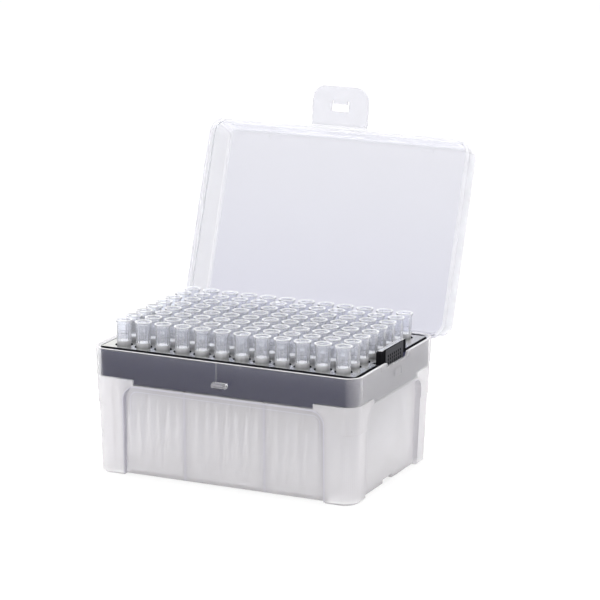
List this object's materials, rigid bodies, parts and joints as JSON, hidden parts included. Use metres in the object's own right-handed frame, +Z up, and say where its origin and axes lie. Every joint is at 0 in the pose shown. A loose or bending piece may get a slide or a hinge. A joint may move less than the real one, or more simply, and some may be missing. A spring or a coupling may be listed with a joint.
{
  "type": "pipette tip box",
  "caption": "Translucent hinged box with a lift-out dark rack that carries a grid of filter tips, its lid standing open.",
  "frame": {"origin": "centre of the box's footprint, on the plane of its feet", "axes": "+Z up, -Y to the front where the latch is, +X to the right; the lid's hinge line runs along X at the back"},
  "size_m": [0.1228, 0.1321, 0.1495],
  "materials": {
    "box_plastic": "translucent, fine matte",
    "rack_plastic": "satin",
    "tip_plastic": "clear, glossy",
    "filter_plastic": "porous, matte"
  },
  "bodies": {
    "base": {"base": "box_plastic", "rack": "rack_plastic", "tips_column_1": "tip_plastic", "tips_column_2": "tip_plastic", "tips_column_3": "tip_plastic", "tips_column_4": "tip_plastic", "tips_column_5": "tip_plastic", "tips_column_6": "tip_plastic", "tips_column_7": "tip_plastic", "tips_column_8": "tip_plastic", "tips_column_9": "tip_plastic", "tips_column_10": "tip_plastic", "tips_column_11": "tip_plastic", "tips_column_12": "tip_plastic", "filters_column_1": "filter_plastic", "filters_column_2": "filter_plastic", "filters_column_3": "filter_plastic", "filters_column_4": "filter_plastic", "filters_column_5": "filter_plastic", "filters_column_6": "filter_plastic", "filters_column_7": "filter_plastic", "filters_column_8": "filter_plastic", "filters_column_9": "filter_plastic", "filters_column_10": "filter_plastic", "filters_column_11": "filter_plastic", "filters_column_12": "filter_plastic"},
    "lid": {"lid": "box_plastic"},
    "latch_tab": {"latch_tab": "box_plastic"}
  },
  "joints": [
    {"name": "lid_hinge", "type": "hinge", "parent": "base", "child": "lid", "pos_m": [0, 0.04423, 0.05], "axis": [1, 0, 0], "range_deg": [0, 108.6]},
    {"name": "latch_hinge", "type": "hinge", "parent": "lid", "child": "latch_tab", "pos_m": [0, 0.07419, 0.13275], "axis": [1, 0, 0], "range_deg": [-13.5, 76.5]}
  ]
}
